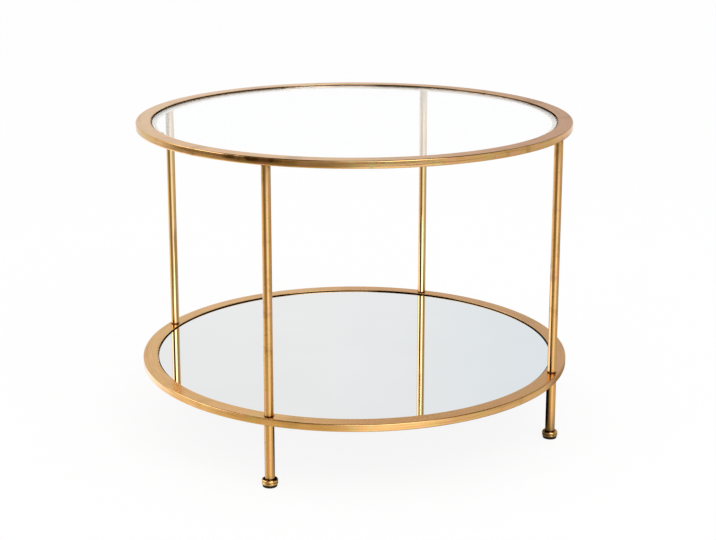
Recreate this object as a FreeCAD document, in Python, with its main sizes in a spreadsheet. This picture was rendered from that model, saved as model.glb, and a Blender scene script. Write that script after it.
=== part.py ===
# Round two-tier side table: two rolled bar rings, four round legs, a glass top and a mirror shelf.
# Lengths are in millimetres. The origin is on the floor under the middle of the table, +Z is up,
# and the four legs stand at the -Y, +X, +Y and -X sides.
import FreeCAD, Part
import Sketcher
import os

# Sizes that can each be set by themselves
DRIVING_SIZES = {
    "table_diameter": 600.0,  # over the outside of both rings
    "table_height": 430.0,  # floor to the top of the top ring
    "shelf_height": 95.0,  # floor to the top of the lower ring
    "ring_width": 20.0,  # rectangular section, seen from above
    "ring_height": 10.0,
    "upper_leg_diameter": 12.0,
    "lower_leg_diameter": 13.0,
    "screw_diameter": 6.0,
    "screw_clearance": 0.05,  # radial, stud or shank in a leg's threaded bore
    "stud_length": 14.0,  # out of the ring's face
    "ledge_width": 8.0,
    "ledge_thickness": 2.0,
    "weld_gap": 0.2,  # radial, ledge inside its ring
    "bumper_width": 5.0,
    "bumper_height": 1.0,
    "glass_thickness": 5.0,
    "mirror_thickness": 5.0,
    "pane_gap": 1.5,  # radial, pane inside its ring
    "foot_diameter": 21.0,
    "foot_height": 8.0,  # turned disc alone
    "shank_length": 26.0,  # threaded part of the foot, above the disc
    "pad_diameter": 19.0,
    "pad_height": 2.4,
    "pin_diameter": 4.0,  # on the pad, the disc turns on it
    "pin_height": 3.0,
    "pin_clearance": 0.1,
}

# Sizes that follow from the driving ones
DERIVED_SIZES = {
    "ring_outer_radius": "table_diameter / 2",
    "ring_inner_radius": "ring_outer_radius - ring_width",
    "leg_circle_radius": "ring_outer_radius - ring_width / 2",
    "top_ring_base": "table_height - ring_height",
    "lower_ring_base": "shelf_height - ring_height",
    "screw_radius": "screw_diameter / 2",
    "thread_radius": "screw_radius + screw_clearance",
    "ledge_radius": "ring_inner_radius - ledge_width",
    "pane_radius": "ring_inner_radius - pane_gap",
    "bumper_circle_radius": "(ledge_radius + pane_radius) / 2",
    "pane_lift": "ledge_thickness + bumper_height",
    "foot_top": "pad_height + foot_height",
    "pin_bore_radius": "pin_diameter / 2 + pin_clearance",
    "pin_bore_depth": "pin_height + pin_clearance",
    "upper_leg_length": "top_ring_base - shelf_height",
    "lower_leg_length": "lower_ring_base - foot_top",
}

# Where each leg stands, as a direction from the middle of the table
SIDES = {"front": (0, -1), "right": (1, 0), "back": (0, 1), "left": (-1, 0)}
LEG_COUNT = len(SIDES)
FULL_TURN = 360
BUMPER_TURN = FULL_TURN / LEG_COUNT / 2  # puts the bumpers half way between the legs
START, END, MIDDLE = range(1, 4)  # how a sketch numbers the points of a line or circle

document = FreeCAD.newDocument("side_table")
sizes = document.addObject("Spreadsheet::Sheet", "sizes")


def fill_sheet():
    cells = {name: str(value) for name, value in DRIVING_SIZES.items()}
    cells.update({name: "=" + formula for name, formula in DERIVED_SIZES.items()})
    for row, (name, content) in enumerate(cells.items(), start=1):
        sizes.set(f"A{row}", name)
        sizes.set(f"B{row}", content)
        sizes.setAlias(f"B{row}", name)
    document.recompute()


def bound(formula):
    """The formula with each size's name pointing at its cell."""
    words = formula.replace("(", " ( ").replace(")", " ) ").split()
    known = {**DRIVING_SIZES, **DERIVED_SIZES}
    return " ".join(f"sizes.{word}" if word in known else word for word in words)


def value(formula):
    return float(sizes.evalExpression(bound(formula)))


def new_body(label):
    body = document.addObject("PartDesign::Body", label)
    body.Label = label
    body.AllowCompound = True
    return body


def place(body, height, side=(0, 0), turn=0.0):
    """Stands a body at a height, out at the leg circle if a side is given, turned about Z."""
    body.Placement.Rotation = FreeCAD.Rotation(FreeCAD.Vector(0, 0, 1), turn)
    for axis, factor in zip("xy", side):
        body.setExpression(f"Placement.Base.{axis}", bound(f"leg_circle_radius * {factor}"))
    body.setExpression("Placement.Base.z", bound(height))


def origin_feature(body, role):
    return next(feature for feature in body.Origin.OriginFeatures if feature.Role == role)


def new_sketch(body, plane):
    sketch = body.newObject("Sketcher::SketchObject", f"{body.Name}_sketch")
    sketch.AttachmentSupport = [(origin_feature(body, plane), "")]
    sketch.MapMode = "FlatFace"
    return sketch


def constrain(sketch, kind, where, formula):
    index = sketch.addConstraint(Sketcher.Constraint(kind, *where, value(formula)))
    sketch.setExpression(f"Constraints[{index}]", bound(formula))


def add_outline(sketch, corners):
    """A closed outline of straight edges. Each corner is a pair of formulas."""
    points = [FreeCAD.Vector(value(across), value(up), 0) for across, up in corners]
    count = len(points)
    for index in range(count):
        sketch.addGeometry(Part.LineSegment(points[index], points[(index + 1) % count]))
    for index in range(count):
        following = (index + 1) % count
        sketch.addConstraint(Sketcher.Constraint("Coincident", index, END, following, START))
    for index, (across, up) in enumerate(corners):
        constrain(sketch, "DistanceX", (index, START), across)
        constrain(sketch, "DistanceY", (index, START), up)


def add_circle(sketch, across, radius):
    """A circle whose middle lies on the sketch's first axis."""
    up = FreeCAD.Vector(0, 0, 1)
    placed = FreeCAD.Vector(value(across), 0, 0)
    index = sketch.addGeometry(Part.Circle(placed, up, value(radius)))
    constrain(sketch, "DistanceX", (index, MIDDLE), across)
    constrain(sketch, "DistanceY", (index, MIDDLE), "0")
    constrain(sketch, "Radius", (index,), radius)


def revolve(body, outline):
    """Turns an outline of (radius, height) corners about the body's Z axis."""
    sketch = new_sketch(body, "XZ_Plane")
    add_outline(sketch, outline)
    turned = body.newObject("PartDesign::Revolution", f"{body.Name}_turned")
    turned.Profile = sketch
    turned.ReferenceAxis = (sketch, ["V_Axis"])
    turned.Angle = FULL_TURN
    document.recompute()


def extrude_at_each_leg(body, sketch, height):
    """Raises a sketch by a height and repeats it at each leg, about the table's axis."""
    raised = body.newObject("PartDesign::Pad", f"{body.Name}_raised")
    raised.Profile = sketch
    raised.setExpression("Length", bound(height))
    document.recompute()
    pattern = body.newObject("PartDesign::PolarPattern", f"{body.Name}_pattern")
    pattern.Originals = [raised]
    pattern.Axis = (origin_feature(body, "Z_Axis"), [""])
    pattern.Angle = FULL_TURN
    pattern.Occurrences = LEG_COUNT
    body.Tip = pattern
    document.recompute()


def rectangle(inner, outer, low, high):
    return [(inner, low), (outer, low), (outer, high), (inner, high)]


def make_round(label, base, inner, outer, height, side=(0, 0)):
    """A ring, disc or tube: a rectangle turned about its own axis."""
    body = new_body(label)
    revolve(body, rectangle(inner, outer, "0", height))
    place(body, base, side)
    return body


def make_bumpers(label, base):
    """Square pads on the ledge, half way between the legs."""
    body = new_body(label)
    sketch = new_sketch(body, "XY_Plane")
    half = "bumper_width / 2"
    inner, outer = f"bumper_circle_radius - {half}", f"bumper_circle_radius + {half}"
    add_outline(sketch, rectangle(inner, outer, f"-1 * {half}", half))
    extrude_at_each_leg(body, sketch, "bumper_height")
    place(body, base, turn=BUMPER_TURN)
    return body


def make_studs(label, base):
    """Threaded studs on a ring's face, one at each leg, plain on the thread's outside diameter."""
    body = new_body(label)
    sketch = new_sketch(body, "XY_Plane")
    add_circle(sketch, "leg_circle_radius", "screw_radius")
    extrude_at_each_leg(body, sketch, "stud_length")
    place(body, base)
    return body


def make_leg(tier, name, base, side):
    """A heavy-wall round tube, tapped through."""
    outside = f"{tier}_leg_diameter / 2"
    return make_round(f"{tier}_leg_{name}", base, "thread_radius", outside, f"{tier}_leg_length", side)


def make_foot(label, side):
    """A turned disc with a threaded shank above and a bore for the pad's pin below."""
    body = new_body(label)
    outline = [
        ("pin_bore_radius", "0"),
        ("foot_diameter / 2", "0"),
        ("foot_diameter / 2", "foot_height"),
        ("screw_radius", "foot_height"),
        ("screw_radius", "foot_height + shank_length"),
        ("0", "foot_height + shank_length"),
        ("0", "pin_bore_depth"),
        ("pin_bore_radius", "pin_bore_depth"),
    ]
    revolve(body, outline)
    place(body, "pad_height", side)
    return body


def make_foot_pad(label, side):
    """A flat pad on the floor with a pin that the foot turns on."""
    body = new_body(label)
    outline = [
        ("0", "0"),
        ("pad_diameter / 2", "0"),
        ("pad_diameter / 2", "pad_height"),
        ("pin_diameter / 2", "pad_height"),
        ("pin_diameter / 2", "pad_height + pin_height"),
        ("0", "pad_height + pin_height"),
    ]
    revolve(body, outline)
    place(body, "0", side)
    return body


def make_tier(ring, ledge, pane, base, thickness):
    """A ring with the ledge, the bumpers and the pane inside it."""
    yield make_round(ring, base, "ring_inner_radius", "ring_outer_radius", "ring_height")
    yield make_round(ledge, base, "ledge_radius", "ring_inner_radius - weld_gap", "ledge_thickness")
    yield make_bumpers(f"{pane}_bumpers", f"{base} + ledge_thickness")
    yield make_round(pane, f"{base} + pane_lift", "0", "pane_radius", thickness)


def make_table():
    yield from make_tier("top_ring", "top_ledge", "top_glass", "top_ring_base", "glass_thickness")
    yield from make_tier("lower_ring", "lower_ledge", "mirror_shelf", "lower_ring_base", "mirror_thickness")
    yield make_studs("top_ring_studs", "top_ring_base - stud_length")
    yield make_studs("lower_ring_upper_studs", "shelf_height")
    yield make_studs("lower_ring_lower_studs", "lower_ring_base - stud_length")
    for name, side in SIDES.items():
        yield make_leg("upper", name, "shelf_height", side)
        yield make_leg("lower", name, "foot_top", side)
        yield make_foot(f"foot_{name}", side)
        yield make_foot_pad(f"foot_pad_{name}", side)


def check(bodies):
    for item in document.Objects:
        if {"Invalid", "Error"} & set(item.State):
            raise RuntimeError(f"{item.Label} did not recompute")
    for body in bodies:
        if body.Shape.isNull() or not body.Shape.isValid():
            raise RuntimeError(f"{body.Label} has no valid shape")


fill_sheet()
pieces = list(make_table())
document.recompute()
check(pieces)
os.makedirs("parts", exist_ok=True)
for piece in pieces:
    piece.Shape.exportStep(f"parts/{piece.Label}.step")
    print(piece.Label, len(piece.Shape.Solids), "solids", round(piece.Shape.Volume, 1), "mm3")
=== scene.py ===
import bmesh
import bpy
from math import cos, pi, radians, sin, tan
from mathutils import Matrix, Vector


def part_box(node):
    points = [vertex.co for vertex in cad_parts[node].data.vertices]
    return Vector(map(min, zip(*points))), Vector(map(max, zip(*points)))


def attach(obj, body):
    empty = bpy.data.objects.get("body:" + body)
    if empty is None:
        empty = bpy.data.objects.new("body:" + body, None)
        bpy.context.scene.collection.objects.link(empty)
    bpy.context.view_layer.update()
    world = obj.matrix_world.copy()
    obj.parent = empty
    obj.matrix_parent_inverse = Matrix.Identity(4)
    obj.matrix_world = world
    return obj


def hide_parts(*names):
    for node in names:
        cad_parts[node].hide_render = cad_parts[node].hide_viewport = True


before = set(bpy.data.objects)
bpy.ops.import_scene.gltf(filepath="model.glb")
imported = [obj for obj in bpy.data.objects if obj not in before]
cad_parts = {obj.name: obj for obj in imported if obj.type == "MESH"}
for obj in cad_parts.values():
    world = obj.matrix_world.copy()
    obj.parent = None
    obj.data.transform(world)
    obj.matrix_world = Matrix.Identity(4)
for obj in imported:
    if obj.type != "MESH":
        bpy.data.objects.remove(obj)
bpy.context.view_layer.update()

MM = 0.001
UP = Vector((0, 0, 1))
SIDES = ("front", "right", "back", "left")
WORN_SIDES = ("front", "right")  # whose legs are browner and more mottled
RING_TIERS = ("top", "lower")
LEG_TIERS = ("upper", "lower")

# Sizes of the finish that the solids leave out, in metres
RING_ROUNDING = 1.6 * MM  # at the outside edges
RING_INNER_ROUNDING = 0.5 * MM
RING_CROWN = 0.02 * MM  # how far the outside bulges at mid height
LEDGE_ROUNDING = 0.4 * MM
LEG_ROUNDING = 0.9 * MM
LEG_FOOT_ROUNDING = 0.3 * MM  # where a lower leg stands on its foot
LEG_NECK_HEIGHT = 0.8 * MM
LEG_NECK_SINK = 1.1 * MM  # how far the neck lies inside the leg's wall
LEG_BORE_RADIUS = 3.2 * MM
BUMPER_WIDTH = 5.0 * MM
BUMPER_ROUNDING = 0.3 * MM
FOOT_ROUNDING = 2.0 * MM
FOOT_GROOVE_WIDTH = 1.5 * MM
FOOT_GROOVE_DEPTH = 0.8 * MM
FOOT_GROOVE_ROUNDING = 0.3 * MM  # at its floor
FOOT_BAND_ROUNDING = 0.4 * MM  # at the groove's two edges
FOOT_BORE_RADIUS = 2.3 * MM
SHANK_RADIUS = 2.95 * MM
SHANK_ROOT_RADIUS = 2.45 * MM
SHANK_SINK = 1.0 * MM  # how far inside the disc the shank begins
THREAD_PITCH = 1.0 * MM
PAD_ROUNDING = 0.7 * MM  # at the floor
PAD_TOP_ROUNDING = 0.35 * MM
PANE_BEVEL = 0.6 * MM

RING_SEGMENTS = 384
LEG_SEGMENTS = 72
FOOT_SEGMENTS = 96
THREAD_SEGMENTS = 48
ROWS_PER_THREAD = 8
ARC_STEPS = 6
CROWN_STEPS = 6
BUMPER_STEPS = 3
ROUND_PROFILE = 0.5  # of a bevel
WELD_DISTANCE = 1e-7  # points closer than this are one
LEVEL_NORMAL = 0.9999  # a face whose normal is this upright is level

# The photograph's camera, found from the rings' outlines and the legs in a 716 x 540 frame
IMAGE_WIDTH, IMAGE_HEIGHT = 716, 540
CAMERA_AZIMUTH = radians(21.8)
CAMERA_DISTANCE = 2.0718
CAMERA_HEIGHT = 0.805
CAMERA_PITCH = 0.2329
FOCAL_PIXELS = 1519.5
AXIS_PIXEL = (354.4, 198.0)  # where the optical axis meets the image
SENSOR_WIDTH = 36.0
TOWARD_CAMERA = Vector((sin(CAMERA_AZIMUTH), -cos(CAMERA_AZIMUTH), 0))
TO_THE_RIGHT = Vector((cos(CAMERA_AZIMUTH), sin(CAMERA_AZIMUTH), 0))

# The gold's colours, from its streaks to what lies over them
GOLD_DARK = (0.58, 0.314, 0.098, 1)
GOLD_LIGHT = (0.76, 0.460, 0.180, 1)
GOLD_GRAZING_TINT = (0.95, 0.89, 0.84, 1)
OLIVE_GOLD = (0.62, 0.425, 0.150, 1)
PINK_GOLD = (0.72, 0.385, 0.190, 1)
# browning, and on the rings' tops painted shade
BROWN_GOLD = (0.50, 0.225, 0.070, 1)
# paleness; on the ledge it is painted light
PALE_GOLD = (0.96, 0.91, 0.82, 1)
BURNT_GOLD = (0.24, 0.105, 0.026, 1)
MOTTLED_BROWN = (0.30, 0.145, 0.045, 1)
# worn edges, and painted shade at the leg ends and in a foot's groove
EDGE_BROWN = (0.10, 0.042, 0.011, 1)
FLECK_BROWN = (0.10, 0.045, 0.014, 1)
# painted shade: the near black laid where recesses and joints are in shade
PAINTED_SHADE_BLACK = (0.042, 0.019, 0.004, 1)

# The gold's patterns: how many to the metre, and the noise values between which each one sets in
TONE_SCALE = 48.0
CLOUD_SCALE = 26.0
SPECK_SCALE = 420.0
DARK_PATCH_SCALE = 60.0
BURN_SCALE = 0.45  # of the streaks' own scale
STREAK_RANGE = (0.3, 0.72)
BURN_RANGE = (0.5, 0.68)
MOTTLING_RANGE = (0.5, 0.72)
FLECK_RANGE = (0.66, 0.76)
OLIVE_RANGE = (0.53, 0.66)
PINK_RANGE = (0.47, 0.34)
BROKEN_EDGE = (0.25, 0.6, 0.7, 1.0)  # with the least and the most wear that is left
BROKEN_DARK_PATCH = (0.32, 0.5, 0.35, 1.0)

# How rough each of them makes the gold, and how deep its relief is
WEAR_ROUGHNESS = 0.12
STREAK_ROUGHNESS = 0.06
BROWN_ROUGHNESS = 0.16
STREAK_RELIEF = 0.4  # beside a fleck's
GOLD_RELIEF = 0.15
GOLD_RELIEF_DEPTH = 0.2 * MM

# Each gold piece's values for the aged gold group. Those left out are 0.
RING_GRAIN = {"Turn Grain": 7.0, "Section Grain": 1100.0, "Base Roughness": 0.10}
RING_FINISH = {
    "top": {**RING_GRAIN, "Tone": 1.0, "Patina": 0.55, "Burning": 0.45},
    "lower": {**RING_GRAIN, "Tone": 0.6, "Patina": 0.25, "Burning": 0.3},
}
# The ledge's paleness is painted light: it makes the ledge show bright under the glass, where it lies in
# shade
LEDGE_FINISH = {
    "Turn Grain": 7.0, "Section Grain": 900.0, "Base Roughness": 0.25,
    "Tone": 0.3, "Patina": 0.1, "Paleness": 0.9,
}
FOOT_FINISH = {
    "Turn Grain": 0.8, "Section Grain": 2600.0, "Base Roughness": 0.08,
    "Tone": 0.3, "Patina": 0.7, "Olive": 0.4,
}
LEG_FINISH = {
    "bright": {
        "Turn Grain": 8.0, "Length Grain": 1.2, "Base Roughness": 0.05,
        "Tone": 0.2, "Patina": 0.25, "Paleness": 0.05,
    },
    "worn": {
        "Turn Grain": 8.0, "Length Grain": 16.0, "Base Roughness": 0.06,
        "Tone": 0.7, "Patina": 1.0, "Browning And Shade": 0.33,
    },
}
LEG_OLIVE = {"upper": {"bright": 0.6, "worn": 0.48}, "lower": {"bright": 0.2, "worn": 0.16}}
LEG_RELIEF = {"bright": 0.03, "worn": 0.05}

# Where the gold is worn, dark or brown, and where shade is painted into it. A fade is the distance over
# which a mask goes out.
EDGE_WEAR_AND_SHADE = 0.7
RING_EDGE_INSET = RING_ROUNDING / 4  # of the rings' dark edge, from the corner that is rounded off
RING_EDGE_FADE = 0.8 * MM
WORN_FROM = -0.155  # the rings' dark edge begins this far to the right of the axis
WEAR_FADE = 0.045
PANE_LINE_LOW = {"top": 8.3 * MM, "lower": 7.2 * MM}  # lower end of the painted shade line inside a ring, above the pane
PANE_LINE_DEPTH = {"top": 0.9 * MM, "lower": 1.0 * MM}  # its upper end, below the ring's top
PANE_LINE_FADE = {"top": 0.5 * MM, "lower": 0.7 * MM}
# A darker patch on the top ring's outside toward the front left
DARK_PATCH_LOW = 5.5 * MM
DARK_PATCH_DEPTH = 1.0 * MM
DARK_PATCH_FADE = 3.0 * MM
DARK_PATCH_SECTOR = (-25, 6, 9)  # bearing, and how far it reaches whole and fading to each side, in degrees
# Painted shade on the rings' upper faces, browner toward the right
PAINTED_TOP_SHADE = {"top": 1.0, "lower": 0.6}
TOP_SHADE_SPAN = {"top": (-0.12, 0.25), "lower": (-0.12, 0.02)}  # where the painted shade goes from none to full, to the right of the axis
TOP_SHADE_DEPTH = 0.4 * MM  # the upper face, with this much of the ring below it
TOP_SHADE_FADE = 0.3 * MM
SEAT_INSET = 0.5 * MM  # of the painted shade under a leg, inside the leg's wall
SEAT_FADE = 2.4 * MM
LEG_END_FADE = 2.6 * MM
LEG_NECK_FADE = 1.9 * MM
GROOVE_FADE = 0.8 * MM
FOOT_SEAT_FADE = 3.6 * MM
FOOT_BASE_FADE = 1.6 * MM

# The other finishes
GLASS_INDEX = 1.5
CLEAR_TINT = (0.985, 0.995, 0.99, 1)
RIM_TINT = (0.92, 0.95, 0.91, 1)
GLASS_SMEARS = {"Scale": 9.0, "Low": 0.45, "High": 0.8, "Wiped": 0.0, "Smeared": 0.025}
MIRROR_SMEARS = {"Scale": 7.0, "Low": 0.5, "High": 0.85, "Wiped": 0.004, "Smeared": 0.02}
MIRROR_TINTS = ((0.775, 0.78, 0.785, 1), (0.79, 0.795, 0.80, 1))
MIRROR_TINT_RANGE = (0.3, 0.7)
GRAIN_RANGE = (0.3, 0.7)
GRAIN_ROUGHNESS = 0.06  # more or less than the coat's own
GRAIN_RELIEF = 0.3
GRAIN_RELIEF_DEPTH = 0.1 * MM
ZINC_SPANGLES = 900.0  # to the metre
ZINC_TINTS = ((0.62, 0.62, 0.60, 1), (0.45, 0.46, 0.47, 1))
ZINC_ROUGHNESS = (0.0, 0.8, 0.25, 0.4)  # distances from a spangle's middle, and the roughness there

# Tints of the studio
WHITE = (1, 1, 1, 1)
AMBER = (1, 0.80, 0.50, 1)  # of its darks
COOL = (1, 1.10, 1.40, 1)  # of its brightest parts
WARM = (1, 0.93, 0.68, 1)  # of the paper at the front left
COOL_GREY = (0.90, 0.95, 0.97, 1)  # of the wall at the right

# The studio that the metal reflects, as patches of (bearing, inside, outside, level, tint). A patch is whole
# within the one angle from its bearing, and gone beyond the other.
WALL_LIGHTS = (
    (-95, 22, 34, 3.0, COOL),
    (-45, 22, 32, 0.02, WHITE),
    (18, 20, 30, 4.5, COOL),
    (76, 26, 40, 0.55, WHITE),
)
MIRRORED_LIGHTS = (
    (-95, 22, 34, 2.5, COOL),
    (-39, 21, 26, 0.02, WHITE),
    (14, 20, 28, 3.4, COOL),
    (76, 26, 40, 0.55, WHITE),
)
NEAR_PAPER = (
    (-42, 18, 46, 0.90, WARM),
    (25, 10, 30, 1.5, WHITE),
    (-105, 5, 25, 1.3, WHITE),
    (100, 25, 60, 0.95, WHITE),
)
MIDDLE_PAPER = (
    (-36, 14, 44, 0.36, AMBER),
    (25, 11, 28, 1.75, COOL),
    (95, 20, 50, 0.70, WHITE),
)
FAR_PAPER = (
    (-40, 16, 44, 0.36, AMBER),
    (22, 12, 32, 1.5, COOL),
    (95, 20, 50, 0.80, WHITE),
)
BACK_PAPER = (
    (155, 14, 34, 0.45, AMBER),
    (-134, 10, 26, 1.6, COOL),
)
DISTANT_FLOOR = (
    (-58, 30, 56, 0.24, AMBER),
    (12, 25, 50, 0.40, WHITE),
    (76, 30, 50, 0.84, WHITE),
)
NEAR_LEVEL = 1.12
MIDDLE_LEVEL = 1.2
RIGHT_WALL_LEVEL = 0.65
CEILING_LEVEL = 0.25
DAYLIGHT_LEVEL = 0.95  # what the room gives to dull surfaces

# Where the studio changes, as the upward part of a direction
MIDDLE_FROM = (-0.33, -0.29)
FAR_FROM = (-0.25, -0.20)
BACK_BELOW = (-0.04, -0.10)
WALLS_FROM = (0.08, 0.17)
COOL_GREY_FROM = (0.20, 0.28)
LIGHTS_FROM = (0.36, 0.44)
RIGHT_WALL_FROM = (0.38, 0.48)
CEILING_FROM = (0.62, 0.80)
RIGHT_FROM = (-0.02, 0.12)  # and this one as its part to the right
SECOND_REFLECTION = 1.5  # more reflections than this is at least the second
ONE_PANE = 2.5  # fewer crossings than this is one pane, in and out

# The floor
FLOOR_GAP = 0.2 * MM
FLOOR_REACH = 30.0
FLOOR_LEVEL = 0.93
FLOOR_ROUGHNESS = 0.9
FLOOR_GLOW = 0.9  # the share that is plain white to the eye. The rest is lit, and takes the shadow.
SHADE_MIDDLE = (TO_THE_RIGHT - TOWARD_CAMERA) * 0.04  # of the dark under the table
SHADE_RADII = (0.40, 0.21)  # there is none of it beyond the first, and all of it within the second
SHADE_LEVEL = 0.008
FOOT_SHADE = 6.0 * MM  # round each foot
DISTANT_FROM = (2.06, 2.20)
LAMP_AIM = UP * 0.25


# Sizes from the solids

def tidy(length):
    """The length to a tenth of a millimetre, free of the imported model's faceting."""
    return round(length, 4)


def radius_of(node):
    low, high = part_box(node)
    return tidy(max(high.x - low.x, high.y - low.y) / 2)


def height_of(node):
    low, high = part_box(node)
    return tidy(high.z - low.z)


def radial_span(node):
    """A turned piece's smallest and largest radius about the table's axis."""
    spans = [vertex.co.xy.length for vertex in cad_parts[node].data.vertices]
    return tidy(min(spans)), tidy(max(spans))


def axis_of(node, height):
    low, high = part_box(node)
    return Vector(((low.x + high.x) / 2, (low.y + high.y) / 2, height))


def base_of(node):
    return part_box(node)[0].z


ring_inner, ring_outer = radial_span("top_ring")
ring_height = height_of("top_ring")
ledge_inner, ledge_outer = radial_span("top_ledge")
ledge_height = height_of("top_ledge")
pane_radius = radius_of("top_glass")
leg_radius = {tier: radius_of(f"{tier}_leg_front") for tier in LEG_TIERS}
leg_length = {tier: height_of(f"{tier}_leg_front") for tier in LEG_TIERS}
foot_radius = radius_of("foot_front")
pad_radius = radius_of("foot_pad_front")
pad_top = tidy(base_of("foot_front"))
foot_top = tidy(base_of("lower_leg_front"))
foot_height = foot_top - pad_top
shank_top = tidy(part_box("foot_front")[1].z)


# Geometry

def rounded(corners):
    """The outline through (radius, height, rounding) corners, each rounded corner as an arc."""
    outline = []
    count = len(corners)
    for index, (across, up, rounding) in enumerate(corners):
        corner = Vector((across, up))
        if not rounding:
            outline.append(corner)
            continue
        before = (Vector(corners[index - 1][:2]) - corner).normalized()
        after = (Vector(corners[(index + 1) % count][:2]) - corner).normalized()
        half_angle = before.angle(after) / 2
        reach = rounding / tan(half_angle)
        middle = corner + (before + after).normalized() * rounding / sin(half_angle)
        start = corner + before * reach - middle
        end = corner + after * reach - middle
        for step in range(ARC_STEPS + 1):
            spoke = start.lerp(end, step / ARC_STEPS).normalized()
            outline.append(middle + spoke * rounding)
    return outline


def is_level(face):
    return abs(face.normal.z) > LEVEL_NORMAL


def finish_piece(name, mesh, place, materials):
    """Turns a bmesh into a smooth-shaded object with the given materials."""
    bmesh.ops.remove_doubles(mesh, verts=mesh.verts, dist=WELD_DISTANCE)
    bmesh.ops.recalc_face_normals(mesh, faces=mesh.faces)
    for face in mesh.faces:
        face.smooth = not is_level(face)
    data = bpy.data.meshes.new(name)
    mesh.to_mesh(data)
    mesh.free()
    for material in materials:
        data.materials.append(material)
    piece = bpy.data.objects.new(name, data)
    piece.location = place
    bpy.context.scene.collection.objects.link(piece)
    return piece


def join_rings(mesh, lower, upper):
    """A band of faces between two rings of points."""
    count = len(lower)
    for index in range(count):
        following = (index + 1) % count
        mesh.faces.new((lower[index], lower[following], upper[following], upper[index]))


def lathe(name, outline, segments, place, materials, material_of=None):
    """Turns an outline of (radius, height) points about the vertical axis through place."""
    mesh = bmesh.new()
    angles = [2 * pi * index / segments for index in range(segments)]
    rings = []
    for across, up in outline:
        rings.append([mesh.verts.new((across * cos(angle), across * sin(angle), up)) for angle in angles])
    for lower, upper in zip(rings, rings[1:] + rings[:1]):
        join_rings(mesh, lower, upper)
    bmesh.ops.dissolve_degenerate(mesh, edges=mesh.edges, dist=WELD_DISTANCE)
    if material_of:
        bmesh.ops.recalc_face_normals(mesh, faces=mesh.faces)
        for face in mesh.faces:
            face.material_index = material_of(face)
    piece = finish_piece(name, mesh, place, materials)
    weighted = piece.modifiers.new("even_shading", "WEIGHTED_NORMAL")
    weighted.keep_sharp = True
    return piece


def stand_for(piece, node, body):
    """Puts a piece on a body in a node's place, and hides the node."""
    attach(piece, body)
    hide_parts(node)


# Nodes

FLOAT, VECTOR, COLOUR = "NodeSocketFloat", "NodeSocketVector", "NodeSocketColor"
MIX_SHARE, MIX_FIRST, MIX_SECOND, MIX_RESULT = 0, 6, 7, 2  # a Mix node's sockets for colours


def add(tree, kind, inputs=None, **settings):
    """A node with its settings, and its inputs set to a value or linked from a socket."""
    made = tree.nodes.new(kind)
    for name, value in settings.items():
        setattr(made, name, value)
    for name, value in (inputs or {}).items():
        socket = made.inputs[name]
        if isinstance(value, bpy.types.NodeSocket):
            tree.links.new(value, socket)
        else:
            socket.default_value = value
    return made


def calculate(tree, operation, *values):
    return add(tree, "ShaderNodeMath", dict(enumerate(values)), operation=operation).outputs[0]


def combine(tree, operation, *vectors):
    """The vector that a vector operation gives."""
    made = add(tree, "ShaderNodeVectorMath", dict(enumerate(vectors)), operation=operation)
    return made.outputs["Vector"]


def measure(tree, operation, *vectors):
    """The number that a vector operation gives."""
    made = add(tree, "ShaderNodeVectorMath", dict(enumerate(vectors)), operation=operation)
    return made.outputs["Value"]


def along(tree, place, direction):
    """How far a place lies along a direction."""
    return measure(tree, "DOT_PRODUCT", place, direction)


def level_part(tree, place):
    return combine(tree, "MULTIPLY", place, (1, 1, 0))


def ramp(tree, value, low, high, to_low=0.0, to_high=1.0):
    """A smooth step of a value from low to high."""
    inputs = {"Value": value, "From Min": low, "From Max": high, "To Min": to_low, "To Max": to_high}
    made = add(tree, "ShaderNodeMapRange", inputs, interpolation_type="SMOOTHSTEP")
    return made.outputs["Result"]


def both(tree, first, second):
    return calculate(tree, "MULTIPLY", first, second)


def either(tree, *masks):
    """The strongest of several masks at each place."""
    whole, *others = masks
    for mask in others:
        whole = calculate(tree, "MAXIMUM", whole, mask)
    return whole


def heading(bearing):
    """A level direction in the room: at 0 degrees toward the camera, at 90 to the camera's right."""
    return TOWARD_CAMERA * cos(radians(bearing)) + TO_THE_RIGHT * sin(radians(bearing))


def around_axis(tree, place):
    """A mask maker for places about the vertical axis: 1 near a bearing, 0 away from it."""
    outward = combine(tree, "NORMALIZE", level_part(tree, place))

    def wedge(bearing, inside, outside):
        toward = along(tree, outward, heading(bearing))
        return ramp(tree, toward, cos(radians(outside)), cos(radians(inside)))

    return wedge


def blend_colours(tree, amount, first, second):
    inputs = {MIX_SHARE: amount, MIX_FIRST: first, MIX_SECOND: second}
    return add(tree, "ShaderNodeMix", inputs, data_type="RGBA").outputs[MIX_RESULT]


def noise(tree, place, scale, detail, roughness):
    inputs = {"Vector": place, "Scale": scale, "Detail": detail, "Roughness": roughness}
    return add(tree, "ShaderNodeTexNoise", inputs).outputs["Fac"]


def shifting_noise(tree, place, phase, scale, detail, roughness):
    """Noise that changes with a phase as well as from place to place."""
    inputs = {"Vector": place, "W": phase, "Scale": scale, "Detail": detail, "Roughness": roughness}
    return add(tree, "ShaderNodeTexNoise", inputs, noise_dimensions="4D").outputs["Fac"]


def new_group(name, inputs, outputs):
    """A shader group with its inputs and outputs as {name: kind}. A number that isn't set is 0."""
    group = bpy.data.node_groups.new(name, "ShaderNodeTree")
    for in_out, sockets in (("INPUT", inputs), ("OUTPUT", outputs)):
        for socket_name, kind in sockets.items():
            group.interface.new_socket(socket_name, in_out=in_out, socket_type=kind)
    given = group.nodes.new("NodeGroupInput")
    put_out = group.nodes.new("NodeGroupOutput")
    return group, given.outputs, put_out.inputs


# Effects that several materials share

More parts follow.
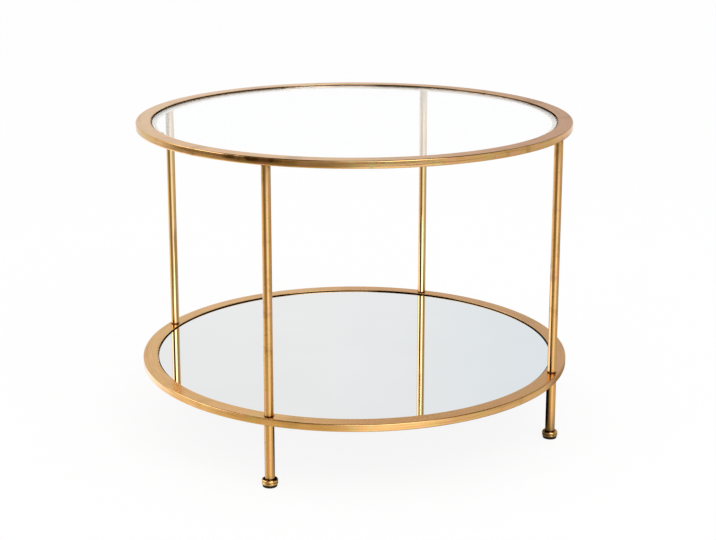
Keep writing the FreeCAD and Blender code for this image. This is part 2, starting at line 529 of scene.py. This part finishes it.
def edge_group():
    """A mask that is 1 on a turned piece's edge, or on its wall between two heights, and fades out."""
    inputs = {"Place": VECTOR, "Edge Radius": FLOAT, "Edge Low": FLOAT, "Edge High": FLOAT, "Fade": FLOAT}
    group, given, put_out = new_group("edge_mask", inputs, {"Mask": FLOAT})
    up = along(group, given["Place"], UP)
    radius = measure(group, "LENGTH", level_part(group, given["Place"]))
    from_radius = calculate(group, "SUBTRACT", radius, given["Edge Radius"])
    nearest = calculate(group, "MAXIMUM", up, given["Edge Low"])
    nearest = calculate(group, "MINIMUM", nearest, given["Edge High"])
    from_height = calculate(group, "SUBTRACT", up, nearest)
    offset = add(group, "ShaderNodeCombineXYZ", {"X": from_radius, "Y": from_height}).outputs[0]
    distance = measure(group, "LENGTH", offset)
    group.links.new(ramp(group, distance, given["Fade"], 0.0), put_out["Mask"])
    return group


def aged_gold_group():
    """Rubbed gold over brown: streaks that follow the piece, tones, mottling, flecks and dark edges, with
    painted shade laid in where a piece gives it.
    """
    inputs = {
        "Place": VECTOR,
        "Turn Grain": FLOAT,  # how fast the streaks change round the axis
        "Length Grain": FLOAT,  # how fast they change along the axis
        "Section Grain": FLOAT,  # how fast they change across the section
        "Base Roughness": FLOAT,
        "Tone": FLOAT,  # how far the patches go to olive and to pink
        "Olive": FLOAT,  # how far the whole piece goes to olive
        # browning, and on a ring's top painted shade
        "Browning And Shade": FLOAT,
        "Paleness": FLOAT,
        "Patina": FLOAT,  # how strong the mottling and the flecks are
        "Burning": FLOAT,  # how dark the long brown streaks are
        # worn edges, with painted shade and a painted dark reflection where a piece gives them
        "Edge": FLOAT,
        # painted shade in recesses and round joints
        "Painted Shade": FLOAT,
    }
    outputs = {"Color": COLOUR, "Roughness": FLOAT, "Height": FLOAT}
    group, given, put_out = new_group("aged_gold", inputs, outputs)

    # The streaks run round the axis or along it, and shift across the section
    place = given["Place"]
    flat = level_part(group, place)
    up = along(group, place, UP)
    outward = combine(group, "NORMALIZE", flat)
    round_axis = {0: outward, "Scale": given["Turn Grain"]}
    turned = add(group, "ShaderNodeVectorMath", round_axis, operation="SCALE").outputs["Vector"]
    lift = calculate(group, "MULTIPLY", up, given["Length Grain"])
    lifted = add(group, "ShaderNodeCombineXYZ", {"Z": lift}).outputs[0]
    grain_place = combine(group, "ADD", turned, lifted)
    across = calculate(group, "SUBTRACT", measure(group, "LENGTH", flat), up)
    phase = calculate(group, "MULTIPLY", across, given["Section Grain"])
    streaks = shifting_noise(group, grain_place, phase, scale=1.0, detail=5.0, roughness=0.62)
    burns = shifting_noise(group, grain_place, phase, BURN_SCALE, detail=3.0, roughness=0.5)
    streak = ramp(group, streaks, *STREAK_RANGE)
    burn = both(group, ramp(group, burns, *BURN_RANGE), given["Burning"])

    # The patches lie anywhere
    tones = noise(group, place, TONE_SCALE, detail=3.0, roughness=0.6)
    clouds = noise(group, place, CLOUD_SCALE, detail=5.0, roughness=0.6)
    specks = noise(group, place, SPECK_SCALE, detail=2.0, roughness=0.5)
    olive_patches = both(group, ramp(group, tones, *OLIVE_RANGE), given["Tone"])
    olive = either(group, olive_patches, given["Olive"])
    pink = both(group, ramp(group, tones, *PINK_RANGE), given["Tone"])
    mottling = both(group, ramp(group, clouds, *MOTTLING_RANGE), given["Patina"])
    fleck = both(group, ramp(group, specks, *FLECK_RANGE), given["Patina"])
    # edge wear and painted shade, broken up by the tones
    worn = both(group, given["Edge"], ramp(group, tones, *BROKEN_EDGE))

    colour = blend_colours(group, streak, GOLD_DARK, GOLD_LIGHT)
    coats = (
        (olive, OLIVE_GOLD),
        (pink, PINK_GOLD),
        (given["Browning And Shade"], BROWN_GOLD),
        (given["Paleness"], PALE_GOLD),
        (burn, BURNT_GOLD),
        (mottling, MOTTLED_BROWN),
        (worn, EDGE_BROWN),
        (fleck, FLECK_BROWN),
        (given["Painted Shade"], PAINTED_SHADE_BLACK),
    )
    for amount, coat in coats:
        colour = blend_colours(group, amount, colour, coat)

    rough = given["Base Roughness"]
    roughened = (
        (mottling, WEAR_ROUGHNESS),
        (worn, WEAR_ROUGHNESS),
        (streak, STREAK_ROUGHNESS),
        (given["Browning And Shade"], BROWN_ROUGHNESS),
    )
    for amount, more in roughened:
        rough = calculate(group, "MULTIPLY_ADD", amount, more, rough)

    raised = calculate(group, "MULTIPLY", streak, STREAK_RELIEF)
    group.links.new(colour, put_out["Color"])
    group.links.new(rough, put_out["Roughness"])
    group.links.new(calculate(group, "SUBTRACT", raised, fleck), put_out["Height"])
    return group


def smears_group():
    """Faint wiped smears, and the roughness that they give."""
    inputs = {
        "Place": VECTOR,
        "Scale": FLOAT,
        "Low": FLOAT,  # the noise value at which a smear sets in
        "High": FLOAT,  # and at which it is full
        "Wiped": FLOAT,  # roughness between the smears
        "Smeared": FLOAT,  # and on them
    }
    group, given, put_out = new_group("wiped_smears", inputs, {"Smears": FLOAT, "Roughness": FLOAT})
    smears = noise(group, given["Place"], given["Scale"], detail=3.0, roughness=0.5)
    rough = ramp(group, smears, given["Low"], given["High"], given["Wiped"], given["Smeared"])
    group.links.new(smears, put_out["Smears"])
    group.links.new(rough, put_out["Roughness"])
    return group


def fine_grain_group():
    """A fine grain of two colours, rougher where it is light."""
    inputs = {
        "Place": VECTOR,
        "Scale": FLOAT,
        "Dark": COLOUR,
        "Light": COLOUR,
        "Smooth": FLOAT,  # roughness where it is dark
        "Rough": FLOAT,  # and where it is light
    }
    outputs = {"Color": COLOUR, "Roughness": FLOAT, "Height": FLOAT}
    group, given, put_out = new_group("fine_grain", inputs, outputs)
    grain = noise(group, given["Place"], given["Scale"], detail=4.0, roughness=0.6)
    colour = blend_colours(group, ramp(group, grain, *GRAIN_RANGE), given["Dark"], given["Light"])
    rough = ramp(group, grain, *GRAIN_RANGE, given["Smooth"], given["Rough"])
    group.links.new(colour, put_out["Color"])
    group.links.new(rough, put_out["Roughness"])
    group.links.new(grain, put_out["Height"])
    return group


EDGE_MASK = edge_group()
AGED_GOLD = aged_gold_group()
WIPED_SMEARS = smears_group()
FINE_GRAIN = fine_grain_group()


# Materials

def new_material(name):
    material = bpy.data.materials.new(name)
    material.use_nodes = True
    tree = material.node_tree
    shader = tree.nodes["Principled BSDF"]
    place = add(tree, "ShaderNodeTexCoord").outputs["Object"]
    return material, tree, shader, place


def add_relief(tree, shader, height, strength, depth):
    bump = add(tree, "ShaderNodeBump", {"Height": height, "Strength": strength, "Distance": depth})
    tree.links.new(bump.outputs["Normal"], shader.inputs["Normal"])


def edge_masks(tree, place, *edges):
    """One mask for all of a piece's (radius, low, high, fade) edges."""
    masks = []
    for radius, low, high, fade in edges:
        inputs = {"Place": place, "Edge Radius": radius, "Edge Low": low, "Edge High": high, "Fade": fade}
        masks.append(add(tree, "ShaderNodeGroup", inputs, node_tree=EDGE_MASK).outputs["Mask"])
    return either(tree, *masks)


def seat_shade_masks(tree, place):
    """One mask of painted shade on the lower ring under its upper legs, fading out round each."""
    level = level_part(tree, place)
    radius = leg_radius["upper"] - SEAT_INSET
    masks = []
    for side in SIDES:
        off = measure(tree, "DISTANCE", level, axis_of(f"upper_leg_{side}", 0))
        masks.append(ramp(tree, off, radius + SEAT_FADE, radius))
    return either(tree, *masks)


def front_dark_patch_mask(tree, place):
    """A darker patch on the top ring's outside toward the front left, broken up along its length."""
    wedge = around_axis(tree, place)
    clouds = noise(tree, place, DARK_PATCH_SCALE, detail=3.0, roughness=0.6)
    band = edge_masks(tree, place, (ring_outer, DARK_PATCH_LOW, ring_height - DARK_PATCH_DEPTH, DARK_PATCH_FADE))
    return both(tree, both(tree, band, wedge(*DARK_PATCH_SECTOR)), ramp(tree, clouds, *BROKEN_DARK_PATCH))


def gold_material(name, finish, relief=GOLD_RELIEF):
    """Aged gold with a piece's own values. The group's inputs are given back too, for masks."""
    material, tree, shader, place = new_material(name)
    shader.inputs["Metallic"].default_value = 1.0
    shader.inputs["Specular Tint"].default_value = GOLD_GRAZING_TINT
    gold = add(tree, "ShaderNodeGroup", {"Place": place, **finish}, node_tree=AGED_GOLD)
    tree.links.new(gold.outputs["Color"], shader.inputs["Base Color"])
    tree.links.new(gold.outputs["Roughness"], shader.inputs["Roughness"])
    add_relief(tree, shader, gold.outputs["Height"], relief, GOLD_RELIEF_DEPTH)
    return material, tree, place, gold.inputs


def ring_gold(tier):
    """A ring: worn along its upper edge with a painted dark reflection there, painted shade above the pane,
    and painted shade on top, browner toward the right.
    """
    material, tree, place, coat = gold_material(f"{tier}_ring_gold", RING_FINISH[tier])
    to_right = along(tree, place, TO_THE_RIGHT)
    # The upper outside edge is worn, and darkened more as a painted dark reflection; it fades out toward the
    # left
    edge_up = ring_height - RING_EDGE_INSET
    upper_edge = (ring_outer - RING_EDGE_INSET, edge_up, edge_up, RING_EDGE_FADE)
    worn = both(tree, edge_masks(tree, place, upper_edge), EDGE_WEAR_AND_SHADE)
    worn = both(tree, worn, ramp(tree, to_right, WORN_FROM - WEAR_FADE, WORN_FROM))
    # painted shade: a dark line on the ring's inside above the pane, where the recess is in shade
    line_top = ring_height - PANE_LINE_DEPTH[tier]
    pane_line = (ring_inner, PANE_LINE_LOW[tier], line_top, PANE_LINE_FADE[tier])
    dark = edge_masks(tree, place, pane_line)
    if tier == "top":
        # a darker patch on the top ring's outside toward the front left
        worn = either(tree, worn, front_dark_patch_mask(tree, place))
    else:
        # painted shade on the lower ring round the foot of each upper leg
        dark = either(tree, dark, seat_shade_masks(tree, place))
    # painted shade: the top face browner toward the right
    top_shade_from = ring_height - TOP_SHADE_DEPTH
    on_top = ramp(tree, along(tree, place, UP), top_shade_from, top_shade_from + TOP_SHADE_FADE)
    top_shade = ramp(tree, to_right, *TOP_SHADE_SPAN[tier], 0.0, PAINTED_TOP_SHADE[tier])
    tree.links.new(worn, coat["Edge"])
    tree.links.new(dark, coat["Painted Shade"])
    tree.links.new(both(tree, on_top, top_shade), coat["Browning And Shade"])
    return material


def leg_gold(tier, state):
    """A leg: painted shade in brown near its ends, and darker painted shade at its necks."""
    finish = {**LEG_FINISH[state], "Olive": LEG_OLIVE[tier][state]}
    material, tree, place, coat = gold_material(f"{state}_{tier}_leg_gold", finish, LEG_RELIEF[state])
    radius = leg_radius[tier]
    heights = (0, leg_length[tier])
    ends = [(radius, height, height, LEG_END_FADE) for height in heights]
    necks = [(radius, height, height, LEG_NECK_FADE) for height in heights]
    # painted shade where the leg meets a ring or a foot
    tree.links.new(both(tree, edge_masks(tree, place, *ends), EDGE_WEAR_AND_SHADE), coat["Edge"])
    tree.links.new(edge_masks(tree, place, *necks), coat["Painted Shade"])
    return material


def foot_disc_gold():
    """A foot's disc: painted shade in its groove, round the leg above and at the pad below."""
    material, tree, place, coat = gold_material("foot_gold", FOOT_FINISH)
    groove = (foot_radius - FOOT_GROOVE_DEPTH, foot_height / 2, foot_height / 2, GROOVE_FADE)
    seat = (leg_radius["lower"], foot_height, foot_height, FOOT_SEAT_FADE)
    base = (foot_radius, 0, 0, FOOT_BASE_FADE)
    # painted shade in the groove, and darker round the leg and at the pad
    tree.links.new(both(tree, edge_masks(tree, place, groove), EDGE_WEAR_AND_SHADE), coat["Edge"])
    tree.links.new(edge_masks(tree, place, seat, base), coat["Painted Shade"])
    return material


def glass_material(name, tint):
    """Clear glass with faint wiped smears."""
    material, tree, shader, place = new_material(name)
    shader.inputs["Base Color"].default_value = tint
    shader.inputs["Transmission Weight"].default_value = 1.0
    shader.inputs["IOR"].default_value = GLASS_INDEX
    smears = add(tree, "ShaderNodeGroup", {"Place": place, **GLASS_SMEARS}, node_tree=WIPED_SMEARS)
    tree.links.new(smears.outputs["Roughness"], shader.inputs["Roughness"])
    return material


def mirror_material():
    """Silvered glass: a clear reflection, a little greyed, with faint wiped smears."""
    material, tree, shader, place = new_material("mirror_silver")
    shader.inputs["Metallic"].default_value = 1.0
    smears = add(tree, "ShaderNodeGroup", {"Place": place, **MIRROR_SMEARS}, node_tree=WIPED_SMEARS)
    share = ramp(tree, smears.outputs["Smears"], *MIRROR_TINT_RANGE)
    tree.links.new(blend_colours(tree, share, *MIRROR_TINTS), shader.inputs["Base Color"])
    tree.links.new(smears.outputs["Roughness"], shader.inputs["Roughness"])
    return material


def dull_material(name, dark, light, roughness, scale, gloss=0.5):
    """A plain coat with a fine grain, for rubber, soft plastic and the mirror's back paint."""
    material, tree, shader, place = new_material(name)
    inputs = {
        "Place": place,
        "Scale": scale,
        "Dark": (*dark, 1),
        "Light": (*light, 1),
        "Smooth": roughness - GRAIN_ROUGHNESS,
        "Rough": roughness + GRAIN_ROUGHNESS,
    }
    grain = add(tree, "ShaderNodeGroup", inputs, node_tree=FINE_GRAIN)
    tree.links.new(grain.outputs["Color"], shader.inputs["Base Color"])
    tree.links.new(grain.outputs["Roughness"], shader.inputs["Roughness"])
    shader.inputs["Specular IOR Level"].default_value = gloss
    add_relief(tree, shader, grain.outputs["Height"], GRAIN_RELIEF, GRAIN_RELIEF_DEPTH)
    return material


def zinc_material():
    """Plated steel with a fine spangle."""
    material, tree, shader, place = new_material("zinc_steel")
    shader.inputs["Metallic"].default_value = 1.0
    inputs = {"Vector": place, "Scale": ZINC_SPANGLES}
    spangle = add(tree, "ShaderNodeTexVoronoi", inputs).outputs["Distance"]
    tree.links.new(blend_colours(tree, spangle, *ZINC_TINTS), shader.inputs["Base Color"])
    tree.links.new(ramp(tree, spangle, *ZINC_ROUGHNESS), shader.inputs["Roughness"])
    return material


ledge_gold = gold_material("ledge_gold", LEDGE_FINISH)[0]
foot_gold = foot_disc_gold()
clear_glass = glass_material("clear_glass", CLEAR_TINT)
glass_rim = glass_material("glass_rim", RIM_TINT)
mirror_silver = mirror_material()
back_paint = dull_material(
    "mirror_back_paint", dark=(0.030, 0.031, 0.033), light=(0.050, 0.051, 0.054), roughness=0.5, scale=300.0)
black_rubber = dull_material(
    "black_rubber", dark=(0.010, 0.010, 0.010), light=(0.022, 0.021, 0.020), roughness=0.6, scale=900.0,
    gloss=0.15)
soft_clear = dull_material(
    "soft_clear_plastic", dark=(0.70, 0.71, 0.70), light=(0.82, 0.83, 0.82), roughness=0.3, scale=700.0)
zinc_steel = zinc_material()


# Pieces

def ring_outline():
    """A flat bar: rounded outside edges, a slightly crowned outside and crisp inside edges."""
    side = ring_outer - RING_CROWN
    corners = [(ring_inner, 0, RING_INNER_ROUNDING), (side, 0, RING_ROUNDING)]
    for step in range(1, CROWN_STEPS):
        share = step / CROWN_STEPS
        bulge = RING_CROWN * (1 - (2 * share - 1) ** 2)
        up = RING_ROUNDING + share * (ring_height - 2 * RING_ROUNDING)
        corners.append((side + bulge, up, 0))
    corners.append((side, ring_height, RING_ROUNDING))
    corners.append((ring_inner, ring_height, RING_INNER_ROUNDING))
    return rounded(corners)


def ledge_outline():
    return rounded([
        (ledge_inner, 0, LEDGE_ROUNDING),
        (ledge_outer, 0, LEDGE_ROUNDING),
        (ledge_outer, ledge_height, LEDGE_ROUNDING),
        (ledge_inner, ledge_height, LEDGE_ROUNDING),
    ])


def make_hoop(node, outline, material):
    """A ring or a ledge: flat bar, rolled about the table's axis."""
    piece = lathe(f"{node}_bar", outline, RING_SEGMENTS, (0, 0, base_of(node)), [material])
    stand_for(piece, node, "frame")


def pane_outline(thickness):
    """A pane with ground edges, from its axis below to its axis above."""
    rim = pane_radius - PANE_BEVEL
    return [
        Vector((0, 0)),
        Vector((rim, 0)),
        Vector((pane_radius, PANE_BEVEL)),
        Vector((pane_radius, thickness - PANE_BEVEL)),
        Vector((rim, thickness)),
        Vector((0, thickness)),
    ]


def glass_side(face):
    """Which of the glass's materials a face has: the face's or the rim's."""
    return 0 if is_level(face) else 1


def mirror_side(face):
    """Which of the mirror's materials a face has: the silver's, the rim's or the back paint's."""
    if not is_level(face):
        return 1
    return 0 if face.normal.z > 0 else 2


def make_pane(node, body, materials, material_of):
    outline = pane_outline(height_of(node))
    place = (0, 0, base_of(node))
    piece = lathe(f"{node}_pane", outline, RING_SEGMENTS, place, materials, material_of)
    stand_for(piece, node, body)


def make_bumpers(node):
    """The soft square pads between a ledge and its pane, half way between the legs."""
    low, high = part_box(node)
    middle = (ledge_inner + pane_radius) / 2
    height = high.z - low.z
    mesh = bmesh.new()
    for quarter in range(len(SIDES)):
        turn = Matrix.Rotation(pi / 4 + quarter * pi / 2, 3, "Z")
        corners = bmesh.ops.create_cube(mesh, size=1)["verts"]
        bmesh.ops.scale(mesh, verts=corners, vec=(BUMPER_WIDTH, BUMPER_WIDTH, height))
        bmesh.ops.translate(mesh, verts=corners, vec=(middle, 0, height / 2))
        bmesh.ops.rotate(mesh, verts=corners, cent=(0, 0, 0), matrix=turn)
    bmesh.ops.bevel(
        mesh, geom=mesh.edges[:], affect="EDGES",
        offset=BUMPER_ROUNDING, segments=BUMPER_STEPS, profile=ROUND_PROFILE)
    piece = finish_piece(f"{node}_pads", mesh, (0, 0, low.z), [soft_clear])
    stand_for(piece, node, "frame")


def leg_outline(tier):
    """A bored round bar, with a narrower neck where it meets a ring."""
    radius = leg_radius[tier]
    length = leg_length[tier]
    neck = radius - LEG_NECK_SINK
    shoulder = length - LEG_NECK_HEIGHT
    corners = [(LEG_BORE_RADIUS, 0, 0)]
    if tier == "upper":
        corners.append((neck, 0, 0))
        corners.append((neck, LEG_NECK_HEIGHT, 0))
        corners.append((radius, LEG_NECK_HEIGHT, LEG_ROUNDING))
    else:
        corners.append((radius, 0, LEG_FOOT_ROUNDING))
    corners.append((radius, shoulder, LEG_ROUNDING))
    corners.append((neck, shoulder, 0))
    corners.append((neck, length, 0))
    corners.append((LEG_BORE_RADIUS, length, 0))
    return rounded(corners)


def make_legs(tier):
    """The four upper or lower legs."""
    coats = {state: leg_gold(tier, state) for state in LEG_FINISH}
    outline = leg_outline(tier)
    for side in SIDES:
        node = f"{tier}_leg_{side}"
        material = coats["worn" if side in WORN_SIDES else "bright"]
        piece = lathe(f"{node}_bar", outline, LEG_SEGMENTS, axis_of(node, base_of(node)), [material])
        stand_for(piece, node, "frame")


def make_foot_disc(side):
    """The turned disc: two bands with a groove between them."""
    middle = foot_height / 2
    outline = rounded([
        (FOOT_BORE_RADIUS, 0, 0),
        (foot_radius, 0, FOOT_ROUNDING),
        (foot_radius, middle - FOOT_GROOVE_WIDTH / 2, FOOT_BAND_ROUNDING),
        (foot_radius - FOOT_GROOVE_DEPTH, middle, FOOT_GROOVE_ROUNDING),
        (foot_radius, middle + FOOT_GROOVE_WIDTH / 2, FOOT_BAND_ROUNDING),
        (foot_radius, foot_height, FOOT_ROUNDING),
        (FOOT_BORE_RADIUS, foot_height, 0),
    ])
    node = f"foot_{side}"
    piece = lathe(f"{node}_disc", outline, FOOT_SEGMENTS, axis_of(node, pad_top), [foot_gold])
    stand_for(piece, node, node)


def make_foot_shank(side):
    """The disc's threaded shank, which shows when the foot is screwed out."""
    node = f"foot_{side}"
    start = foot_top - SHANK_SINK
    length = shank_top - start
    rows = int(length / THREAD_PITCH * ROWS_PER_THREAD)
    mesh = bmesh.new()
    grid = []
    for row in range(rows + 1):
        up = length * row / rows
        ring = []
        for index in range(THREAD_SEGMENTS):
            turn = index / THREAD_SEGMENTS
            step = (up / THREAD_PITCH - turn) % 1
            crest = 1 - abs(2 * step - 1)
            across = SHANK_ROOT_RADIUS + (SHANK_RADIUS - SHANK_ROOT_RADIUS) * crest
            ring.append(mesh.verts.new((across * cos(2 * pi * turn), across * sin(2 * pi * turn), up)))
        grid.append(ring)
    for lower, upper in zip(grid, grid[1:]):
        join_rings(mesh, lower, upper)
    mesh.faces.new(reversed(grid[0]))
    mesh.faces.new(grid[-1])
    piece = finish_piece(f"{node}_shank", mesh, axis_of(node, start), [zinc_steel])
    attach(piece, node)


def make_foot_pad(side):
    node = f"foot_pad_{side}"
    outline = rounded([
        (0, 0, 0),
        (pad_radius, 0, PAD_ROUNDING),
        (pad_radius, pad_top, PAD_TOP_ROUNDING),
        (0, pad_top, 0),
    ])
    piece = lathe(f"{node}_rubber", outline, FOOT_SEGMENTS, axis_of(node, 0), [black_rubber])
    stand_for(piece, node, f"pad_{side}")


def plate_studs():
    """The studs keep their solids, with a better finish."""
    for node in ("top_ring_studs", "lower_ring_upper_studs", "lower_ring_lower_studs"):
        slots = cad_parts[node].data.materials
        slots.clear()
        slots.append(zinc_steel)


def dress_table():
    for tier in RING_TIERS:
        make_hoop(f"{tier}_ring", ring_outline(), ring_gold(tier))
        make_hoop(f"{tier}_ledge", ledge_outline(), ledge_gold)
    make_pane("top_glass", "glass_top", [clear_glass, glass_rim], glass_side)
    make_pane("mirror_shelf", "mirror_shelf", [mirror_silver, glass_rim, back_paint], mirror_side)
    for pane in ("top_glass", "mirror_shelf"):
        make_bumpers(f"{pane}_bumpers")
    for tier in LEG_TIERS:
        make_legs(tier)
    for side in SIDES:
        make_foot_disc(side)
        make_foot_shank(side)
        make_foot_pad(side)
    plate_studs()


# Stage

def tinted(level, tint=WHITE):
    return (level * tint[0], level * tint[1], level * tint[2], 1)


def paint(tree, wedge, colour, patches, share=1.0):
    """A colour with patches of (bearing, inside, outside, level, tint) laid over it."""
    for bearing, inside, outside, level, tint in patches:
        amount = both(tree, share, wedge(bearing, inside, outside))
        colour = blend_colours(tree, amount, colour, tinted(level, tint))
    return colour


def mirrored_ray(tree, rays):
    """1 for a ray that a surface threw back, and 0 for one that went through glass."""
    return calculate(tree, "GREATER_THAN", rays["Is Glossy Ray"], rays["Is Transmission Ray"])


def open_view(tree, rays):
    """1 for a ray from the camera, straight or through glass."""
    return either(tree, rays["Is Camera Ray"], rays["Is Transmission Ray"])


def studio_walls(tree, toward, up, wedge):
    """The walls and the ceiling: plain low down, with lights and darks higher up."""
    right = ramp(tree, along(tree, toward, TO_THE_RIGHT), *RIGHT_FROM)
    cool_part = both(tree, right, ramp(tree, up, *COOL_GREY_FROM))
    grey_part = both(tree, right, ramp(tree, up, *RIGHT_WALL_FROM))
    walls = blend_colours(tree, cool_part, WHITE, COOL_GREY)
    walls = blend_colours(tree, grey_part, walls, tinted(RIGHT_WALL_LEVEL))
    walls = paint(tree, wedge, walls, WALL_LIGHTS, ramp(tree, up, *LIGHTS_FROM))
    return blend_colours(tree, ramp(tree, up, *CEILING_FROM), walls, tinted(CEILING_LEVEL, AMBER))


def studio_paper(tree, up, wedge):
    """The paper under the table, from close by to the foot of the walls."""
    near = paint(tree, wedge, tinted(NEAR_LEVEL), NEAR_PAPER)
    middle = paint(tree, wedge, tinted(MIDDLE_LEVEL), MIDDLE_PAPER)
    far = paint(tree, wedge, WHITE, FAR_PAPER)
    paper = blend_colours(tree, ramp(tree, up, *MIDDLE_FROM), near, middle)
    paper = blend_colours(tree, ramp(tree, up, *FAR_FROM), paper, far)
    return paint(tree, wedge, paper, BACK_PAPER, ramp(tree, up, *BACK_BELOW))


def light_room():
    """A white room to the camera and through glass, and a studio with its darks in reflections."""
    world = bpy.data.worlds.new("white_room")
    world.use_nodes = True
    bpy.context.scene.world = world
    tree = world.node_tree
    toward = add(tree, "ShaderNodeTexCoord").outputs["Generated"]
    rays = add(tree, "ShaderNodeLightPath").outputs
    up = along(tree, toward, UP)
    wedge = around_axis(tree, toward)

    # Pieces that are themselves seen in the mirror have walls of their own
    twice = calculate(tree, "GREATER_THAN", rays["Glossy Depth"], SECOND_REFLECTION)
    walls = studio_walls(tree, toward, up, wedge)
    walls = blend_colours(tree, twice, walls, paint(tree, wedge, WHITE, MIRRORED_LIGHTS))
    room = blend_colours(tree, ramp(tree, up, *WALLS_FROM), studio_paper(tree, up, wedge), walls)

    # They show the studio through the glass top too
    one_pane = calculate(tree, "LESS_THAN", rays["Transmission Depth"], ONE_PANE)
    thrown_back = either(tree, mirrored_ray(tree, rays), both(tree, twice, one_pane))
    seen = blend_colours(tree, thrown_back, WHITE, room)
    shown = either(tree, open_view(tree, rays), rays["Is Glossy Ray"])
    light = blend_colours(tree, shown, tinted(DAYLIGHT_LEVEL), seen)
    tree.links.new(light, tree.nodes["Background"].inputs["Color"])


def glow(tree, colour):
    return add(tree, "ShaderNodeEmission", {"Color": colour}).outputs[0]


def mix_shaders(tree, share, first, second):
    return add(tree, "ShaderNodeMixShader", {0: share, 1: first, 2: second}).outputs[0]


def floor_shade(tree, place):
    """A mask for the dark under the table and round its feet."""
    masks = [ramp(tree, measure(tree, "DISTANCE", place, SHADE_MIDDLE), *SHADE_RADII)]
    for side in SIDES:
        off = measure(tree, "DISTANCE", place, axis_of(f"foot_{side}", 0))
        masks.append(ramp(tree, off, foot_radius + FOOT_SHADE, foot_radius))
    return either(tree, *masks)


def lay_floor():
    """A white floor with a soft share of the shadow. Reflections see the studio's paper in its place."""
    material, tree, shader, place = new_material("white_floor")
    shader.inputs["Base Color"].default_value = tinted(FLOOR_LEVEL)
    shader.inputs["Roughness"].default_value = FLOOR_ROUGHNESS
    shader.inputs["Specular IOR Level"].default_value = 0.0
    rays = add(tree, "ShaderNodeLightPath").outputs
    clear = add(tree, "ShaderNodeBsdfTransparent").outputs[0]
    distant = glow(tree, paint(tree, around_axis(tree, place), WHITE, DISTANT_FLOOR))
    beyond = ramp(tree, measure(tree, "LENGTH", place), *DISTANT_FROM)
    reflected = mix_shaders(tree, floor_shade(tree, place), clear, glow(tree, tinted(SHADE_LEVEL, AMBER)))
    reflected = mix_shaders(tree, beyond, reflected, distant)
    glowing = both(tree, open_view(tree, rays), FLOOR_GLOW)
    plain = mix_shaders(tree, glowing, shader.outputs[0], glow(tree, WHITE))
    surface = mix_shaders(tree, mirrored_ray(tree, rays), plain, reflected)
    tree.links.new(surface, tree.nodes["Material Output"].inputs["Surface"])
    corners = []
    for x, y in ((-1, -1), (1, -1), (1, 1), (-1, 1)):
        corners.append((FLOOR_REACH * x, FLOOR_REACH * y, -FLOOR_GAP))
    data = bpy.data.meshes.new("floor")
    data.from_pydata(corners, [], [range(len(corners))])
    data.materials.append(material)
    floor = bpy.data.objects.new("floor", data)
    bpy.context.scene.collection.objects.link(floor)


def hang_lamp(name, bearing, distance, height, size, power):
    data = bpy.data.lights.new(name, "AREA")
    data.shape = "DISK"
    data.size = size
    data.energy = power
    lamp = bpy.data.objects.new(name, data)
    lamp.location = heading(bearing) * distance + UP * height
    aim = LAMP_AIM - lamp.location
    lamp.rotation_euler = aim.to_track_quat("-Z", "Y").to_euler()
    bpy.context.scene.collection.objects.link(lamp)


def set_camera():
    data = bpy.data.cameras.new("camera")
    data.sensor_width = SENSOR_WIDTH
    data.lens = FOCAL_PIXELS * SENSOR_WIDTH / IMAGE_WIDTH
    data.shift_x = (IMAGE_WIDTH / 2 - AXIS_PIXEL[0]) / IMAGE_WIDTH
    data.shift_y = (AXIS_PIXEL[1] - IMAGE_HEIGHT / 2) / IMAGE_WIDTH
    camera = bpy.data.objects.new("camera", data)
    camera.location = TOWARD_CAMERA * CAMERA_DISTANCE + UP * CAMERA_HEIGHT
    aim = -TOWARD_CAMERA * cos(CAMERA_PITCH) - UP * sin(CAMERA_PITCH)
    camera.rotation_euler = aim.to_track_quat("-Z", "Y").to_euler()
    bpy.context.scene.collection.objects.link(camera)
    bpy.context.scene.camera = camera


def build_stage():
    light_room()
    lay_floor()
    hang_lamp("key_lamp", bearing=35, distance=1.8, height=2.0, size=1.2, power=12)
    hang_lamp("fill_lamp", bearing=-60, distance=2.0, height=1.6, size=1.2, power=5)
    set_camera()
    bpy.context.scene.view_settings.view_transform = "Standard"


dress_table()
build_stage()
